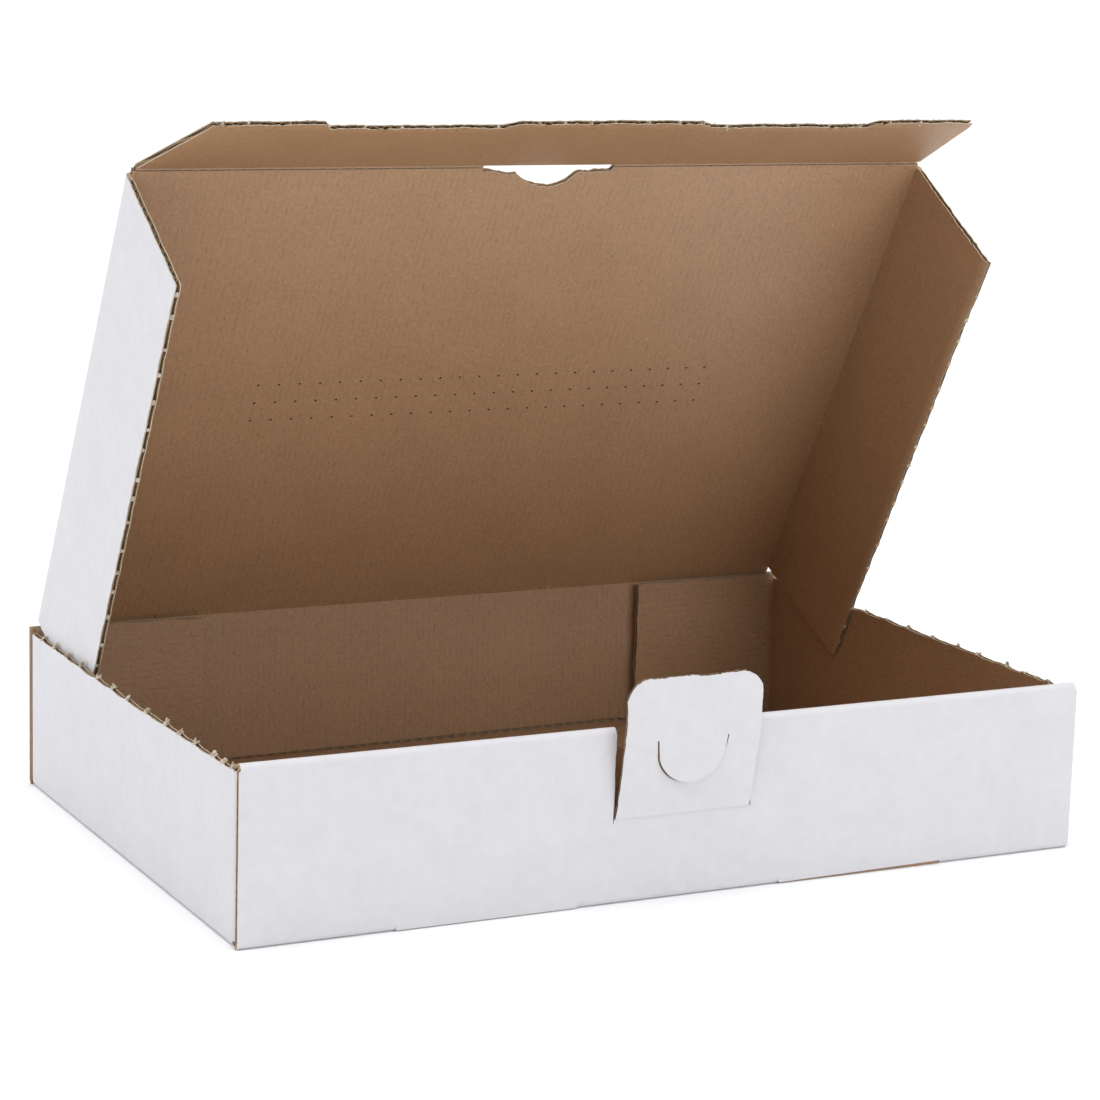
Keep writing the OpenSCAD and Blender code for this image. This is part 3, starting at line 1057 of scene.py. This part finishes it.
# TUCK FLAP
# The front flap of the lid with slanted ends. It goes down behind the front wall when the lid is
# closed. Its tip is cut across the flutes, so the waves show in the edge.
TUCK_LEN = 39.0
TUCK_TAPER = 7.0
TIP_STEP = 3.5
TIP_LEAD = 3.0
TIP_RISE = 4.0
TIP_TRAIL = 1.0
TIP_FALL = 2.0
TIP_NICKS = 9.0
TIP_PINCH = 0.28
PINCH_REACH = 0.9
TUCK_LEAST = 0.4
TUCK_END = 0.3
TUCK_LAP = 48.0
NICK_BACK = 0.8
tuck_half = flap_x - SLIDE_GAP
tuck_lift = Matrix.Rotation(math.radians(TUCK_BEND), 4, "X")
tuck_turn = lid_turn @ Matrix.Translation((0, -lid_len, 0)) @ tuck_lift
tuck = Sheet("tuck_flap_board", 31)


def tip_end(u):
    """Length of the flap at u: its tip has two shallow steps as wide as the tongues."""
    rise = min(1.0, max(0.0, (abs(u) - TONGUE_X + TONGUE_W / 2 + TIP_LEAD) / TIP_RISE))
    fall = min(1.0, max(0.0, (TONGUE_X + TONGUE_W / 2 + TIP_TRAIL - abs(u)) / TIP_FALL))
    return TUCK_LEN - TIP_STEP * rise * fall


def pinched(w, away, share):
    """Depth w in the board near a cut edge, where the cutting rule squeezed the board thin."""
    return w * (1.0 - share * math.exp(-(max(0.0, away) / PINCH_REACH) ** 2))


def tuck_place(u, v, w):
    depth = pinched(w, tip_end(u) - v, TIP_PINCH)
    return tuple(tuck_turn @ Vector((u, -v, BOARD - depth)))


def tuck_span(u, w):
    end = min(tip_end(u), TUCK_LEN * (tuck_half - abs(u)) / TUCK_TAPER)
    return fold_start(w), max(end, fold_start(w) + TUCK_LEAST)


tuck_us = steps(-tuck_half + TUCK_END, -tuck_half + TUCK_TAPER, 0.5)
tuck_us += steps(-tuck_half + TUCK_TAPER, tuck_half - TUCK_TAPER, 0.9)[1:-1]
tuck_us += steps(tuck_half - TUCK_TAPER, tuck_half - TUCK_END, 0.5)
tuck.panel(tuck_place, tuck_us, tuck_span, rows_to_edges(TUCK_LEN, 4.0), "hi", fuzz=0.2,
           wander=0.5)
tip_half = tuck_half - TUCK_TAPER


def tuck_tip(t, out, w):
    return tuck_place(t, tip_end(t) - NICK_BACK + out, w)


tuck.tear_edge(tuck_tip, tuck.nick_places(-tip_half, tip_half, TIP_NICKS))
tuck_round = 90.0 + TUCK_BEND
for run in tuck_runs:
    tuck.fold(lid_front, lid_yz, run, tuck_round - TUCK_LAP, tuck_round, (1, 0, 0))
lined(tuck, "tuck_flap")
fluted(tuck, "tuck_flap")
torn_edges(tuck, "tuck_flap", TUCK_TUFT, 7)


# SIDE FLAPS
# A flap on each side of the lid, folded down square so that it slides inside the side wall. Its
# long free edge is cut along the flutes and its slanted ends across them.
FLAP_DROP = hinge_z - BOARD - SLIDE_GAP
FLAP_SLANT = 4.2
REAR_SLANT = 2.0
SPLAY = 0.2
SPLAY_START = 40.0
FLAP_NICKS = 8.0
NICKS_FROM = 4.0
NICKS_TO = lid_len - 5.0
CUT_PINCH = 0.55
PINCHED_INSET = 1.5


def flap_span(u, w):
    share = u / FLAP_DROP
    end = lid_len - FLAP_FRONT - (FLAP_SLANT - FLAP_FRONT) * share
    return FLAP_REAR + REAR_SLANT * share, end


flap_us = steps(START_R, FLAP_DROP, WALL_STEP)
flap_rows = rows_to_edges(lid_len, ROLL_STEP)
for side, label, squeezed, seed in ((-1, "left", False, 40), (1, "right", True, 42)):
    flap = Sheet(label + "_side_flap_board", seed)

    def flap_place(u, v, w, side=side, squeezed=squeezed):
        reach = max(0.0, (v - SPLAY_START) / (lid_len - SPLAY_START))
        splay = SPLAY * reach ** 2 * (u / FLAP_DROP)
        left = (FLAP_DROP - u) / (FLAP_DROP - START_R)
        drop = FLAP_DROP - left * (FLAP_DROP - fold_start(w))
        depth = pinched(w, FLAP_DROP - u, CUT_PINCH) if squeezed else w
        return tuple(lid_turn @ Vector((side * (flap_x + BOARD - depth + splay), -v, -drop)))

    def flap_edge(t, out, w):
        return flap_place(FLAP_DROP + out, t, w)

    flap_nicks = flap.nick_places(NICKS_FROM, NICKS_TO, FLAP_NICKS)
    inset = PINCHED_INSET if squeezed else FLUTE_INSET
    flap.panel(flap_place, flap_us, flap_span, flap_rows, "last lo hi", inset=inset,
               scallop=scalloped(flap_nicks, SCALLOP))
    flap.tear_edge(flap_edge, flap_nicks)
    lined(flap, label + "_side_flap")
    fluted(flap, label + "_side_flap")
    torn_edges(flap, label + "_side_flap", FLAP_TUFT, seed)


# LOCK TAB
# A tab cut out of the front wall that leans out on its lower fold. A crease runs across it, and a
# half-round cut hangs from the crease, so the tongue inside it stays in line with the head.
TAB_LEN = 38.5
TAB_CREASE = 22.2
HEAD_BEND = 7.0
CUT_R = 9.9
CUT_SIDE = 2.0
SLIT = 0.2
HEAD_GAP = 0.05
TAB_STEP = 0.6
CREASE_LAP = 1.0
neck_half = TAB_W / 2 - LAYER_GAP
tab_tip = Matrix.Rotation(math.radians(TAB_LEAN), 4, "X")
tab_turn = Matrix.Translation((0, -half_d, TAB_FOLD)) @ tab_tip
to_crease = Matrix.Translation((0, BOARD, TAB_CREASE))
head_turn = tab_turn @ to_crease @ Matrix.Rotation(math.radians(-HEAD_BEND), 4, "X")
tab = Sheet("lock_tab_board", 53)


def neck_place(u, v, w):
    return tuple(tab_turn @ Vector((u, pinched(w, neck_half - abs(u), CUT_PINCH), v)))


def neck_span(u, w):
    end = TAB_CREASE
    cut = CUT_R + SLIT / 2
    if abs(u) < cut:
        end -= CUT_SIDE + chord(cut, u)
    return chord(START_R, w), end


def head_top(u):
    beyond = max(0.0, abs(u) - (TAB_W / 2 - TAB_ROUND))
    return TAB_LEN - TAB_CREASE - TAB_ROUND + chord(TAB_ROUND, beyond)


def head_place(u, v, w):
    away = min(TAB_W / 2 - abs(u), head_top(u) - v) if v > 0.0 else TAB_W
    return tuple(head_turn @ Vector((u, pinched(w, away, CUT_PINCH) - BOARD, v)))


def head_span(u, w):
    tongue = CUT_R - SLIT / 2
    low = -CUT_SIDE - chord(tongue, u) if abs(u) < tongue else 0.0
    return low, head_top(u)


tab_yz = tipped(tab_turn, yz)
tab_rows = rows_to_edges(TAB_CREASE, ROLL_STEP)
tab_shift = 12.0, 9.0
neck_us = steps(-neck_half, neck_half, TAB_STEP)
tab.panel(neck_place, neck_us, neck_span, tab_rows, "first last", shift=tab_shift,
          inset=PINCHED_INSET)
head_us = steps(-TAB_W / 2 + HEAD_GAP, TAB_W / 2 - HEAD_GAP, TAB_STEP)
tab.panel(head_place, head_us, head_span, tab_rows, "first last hi", wander=0.3,
          shift=tab_shift, inset=PINCHED_INSET)
crease_centre = tab_turn @ Vector((0, BOARD, TAB_CREASE))
crease_ends = 180.0 - HEAD_BEND - CREASE_LAP, 180.0 + CREASE_LAP
for run_start, run_end in ((-neck_half, -CUT_R - SLIT), (CUT_R + SLIT, neck_half)):
    run = steps(run_start, run_end, 1.0)
    tab.fold(crease_centre, tab_yz, run, *crease_ends, (1, 0, 0), arc=3)
lined(tab, "lock_tab")
fluted(tab, "lock_tab")


# STUDIO
# None of this is part of the box: a pale floor, soft light from two panels and a wide lamp above,
# and a camera at the photograph's viewing angle.
FLOOR_HALF = 40
floor_turns = (-1, -1), (1, -1), (1, 1), (-1, 1)
floor_corners = [(x * FLOOR_HALF, y * FLOOR_HALF, 0) for x, y in floor_turns]
floor_mesh = bpy.data.meshes.new("floor")
floor_mesh.from_pydata(floor_corners, [], [(0, 1, 2, 3)])
floor = bpy.data.objects.new("floor", floor_mesh)
scene.collection.objects.link(floor)
pale_floor = bpy.data.materials.new("pale_floor")
pale_floor.use_nodes = True
floor_shader = pale_floor.node_tree.nodes["Principled BSDF"]
floor_shader.inputs["Base Color"].default_value = (0.95, 0.95, 0.955, 1)
floor_shader.inputs["Roughness"].default_value = 0.9
floor_mesh.materials.append(pale_floor)

world = bpy.data.worlds.new("studio")
scene.world = world
world.use_nodes = True
sky = world.node_tree.nodes["Background"]
sky.inputs["Color"].default_value = (1.0, 1.0, 1.0, 1)
sky.inputs["Strength"].default_value = 0.31


def soft_panel(name, place, target, size, power):
    lamp = bpy.data.lights.new(name, "AREA")
    lamp.shape = "RECTANGLE"
    lamp.size, lamp.size_y = size
    lamp.energy = power
    thing = bpy.data.objects.new(name, lamp)
    thing.location = place
    aim = Vector(target) - Vector(place)
    thing.rotation_euler = aim.to_track_quat("-Z", "Y").to_euler()
    scene.collection.objects.link(thing)


soft_panel("front_panel", (0.45, -1.2, 0.42), (0, 0, 0.10), (0.9, 0.5), 4.3)
soft_panel("left_panel", (-1.7, 0.9, 0.5), (-0.1, 0, 0.08), (1.0, 0.8), 9.4)

top_light = bpy.data.lights.new("top_light", "SUN")
top_light.energy = 2.8
top_light.angle = math.radians(80)
above_box = bpy.data.objects.new("top_light", top_light)
scene.collection.objects.link(above_box)

camera_data = bpy.data.cameras.new("camera")
camera_data.lens = 104.97
camera_data.sensor_width = 36.0
camera_data.clip_start = 0.01
camera = bpy.data.objects.new("camera", camera_data)
CAMERA_PLACE = -0.38754, -0.76036, 0.24368
YAW, PITCH, ROLL = math.radians(27.066), math.radians(-11.216), math.radians(1.731)
flat = math.cos(PITCH)
ahead = Vector((math.sin(YAW) * flat, math.cos(YAW) * flat, math.sin(PITCH)))
right = Vector((math.cos(YAW), -math.sin(YAW), 0.0))
above = right.cross(ahead)
turned_right = math.cos(ROLL) * right + math.sin(ROLL) * above
turned_up = -math.sin(ROLL) * right + math.cos(ROLL) * above
camera_turn = Matrix((turned_right, turned_up, -ahead)).transposed().to_4x4()
camera.matrix_world = Matrix.Translation(CAMERA_PLACE) @ camera_turn
scene.collection.objects.link(camera)
scene.camera = camera
scene.view_settings.view_transform = "Standard"
